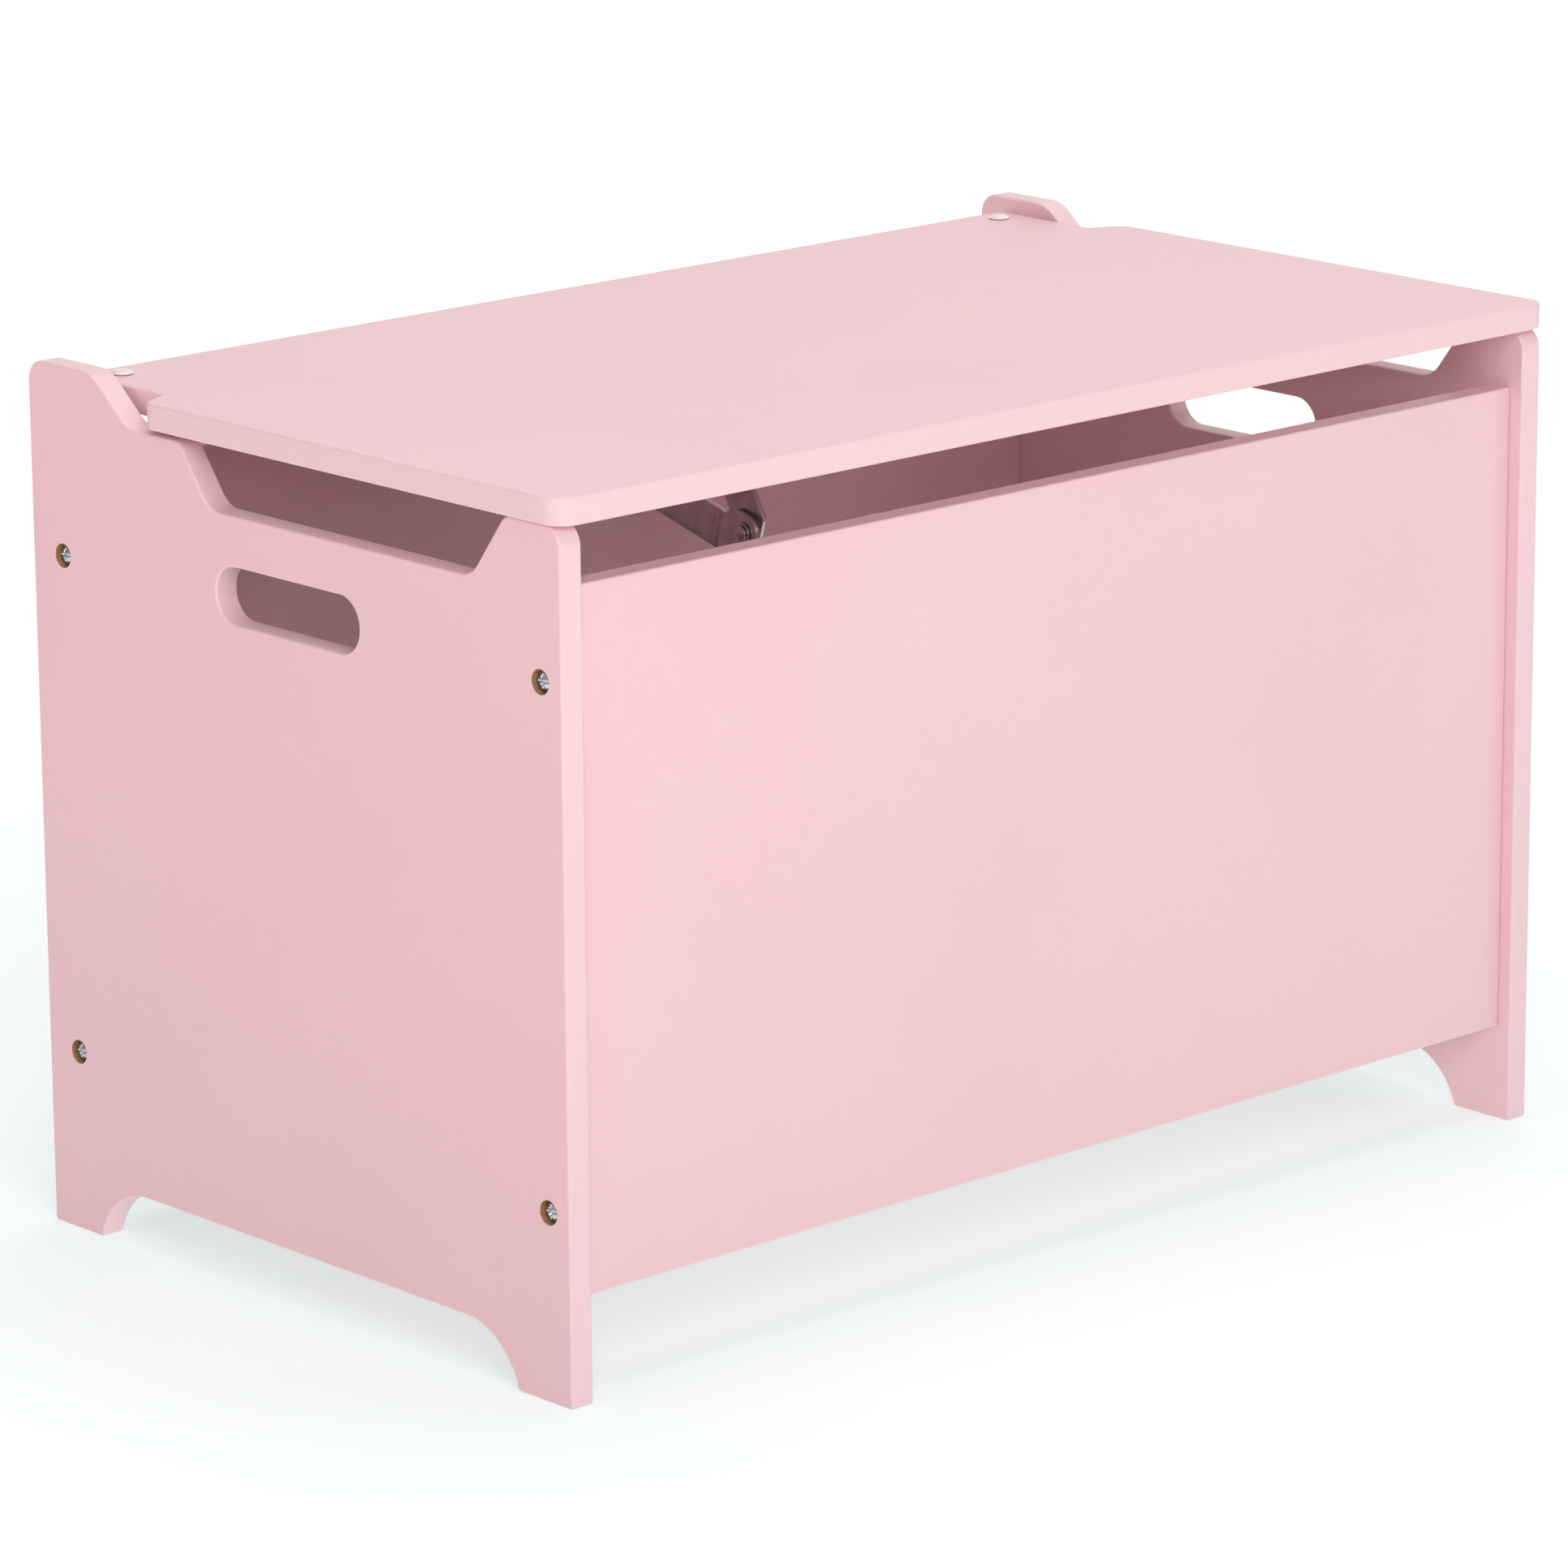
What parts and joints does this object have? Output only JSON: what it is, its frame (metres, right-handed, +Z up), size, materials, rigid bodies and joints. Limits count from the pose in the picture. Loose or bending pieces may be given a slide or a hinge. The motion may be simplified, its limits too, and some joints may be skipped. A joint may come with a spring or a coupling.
{
  "type": "toy box",
  "caption": "Painted board toy box with a lid on side pins, a folding steel lid stay, hand slots, finger notches and arched feet",
  "frame": {"origin": "middle of the footprint, on the floor", "axes": "+Z up, -Y the front that the lid opens from, +X to the right seen from the front"},
  "size_m": [0.61, 0.365, 0.404],
  "materials": {
    "pink_paint": "satin pink lacquer on medium-density fibreboard",
    "zinc": "bright zinc plate",
    "stay_steel": "stamped steel, dull zinc plate",
    "nylon": "natural nylon",
    "milky_plastic": "smooth translucent white"
  },
  "bodies": {
    "box": {"side_panel_left": "pink_paint", "side_panel_right": "pink_paint", "front_panel": "pink_paint", "back_panel": "pink_paint", "bottom_panel": "pink_paint", "side_screw_left_front_upper": "zinc", "side_screw_left_front_lower": "zinc", "side_screw_left_back_upper": "zinc", "side_screw_left_back_lower": "zinc", "side_screw_right_front_upper": "zinc", "side_screw_right_front_lower": "zinc", "side_screw_right_back_upper": "zinc", "side_screw_right_back_lower": "zinc", "hinge_bush_left": "nylon", "hinge_bush_right": "nylon", "stay_base_bracket": "stay_steel", "stay_base_screw_lower": "zinc", "stay_base_screw_upper": "zinc", "stay_base_washer": "nylon", "stay_base_rivet": "zinc"},
    "lid": {"lid": "pink_paint", "hinge_pin_left": "stay_steel", "hinge_pin_right": "stay_steel", "pin_lock_left": "milky_plastic", "pin_lock_right": "milky_plastic", "stay_lid_bracket": "stay_steel", "stay_lid_screw_front": "zinc", "stay_lid_screw_back": "zinc", "stay_lid_washer": "nylon", "stay_lid_rivet": "zinc"},
    "stay_lower_arm": {"stay_lower_arm": "stay_steel", "stay_elbow_spring_washer": "stay_steel", "stay_elbow_washer": "nylon", "stay_elbow_rivet": "zinc"},
    "stay_upper_arm": {"stay_upper_arm": "stay_steel"}
  },
  "joints": [
    {"name": "lid_hinge", "type": "hinge", "parent": "box", "child": "lid", "pos_m": [0, 0.1515, 0.391], "axis": [-1, 0, 0], "range_deg": [0, 85]},
    {"name": "stay_base_pivot", "type": "hinge", "parent": "box", "child": "stay_lower_arm", "pos_m": [0, 0.1119, 0.3184], "axis": [-1, 0, 0], "range_deg": [0, 85]},
    {"name": "stay_elbow", "type": "hinge", "parent": "stay_lower_arm", "child": "stay_upper_arm", "pos_m": [0, 0.0356, 0.3004], "axis": [-1, 0, 0], "range_deg": [-85, 0]}
  ],
  "couplings": [
    {"joint": "stay_base_pivot", "follows": "lid_hinge", "ratio": 1},
    {"joint": "stay_elbow", "follows": "lid_hinge", "ratio": -1}
  ]
}
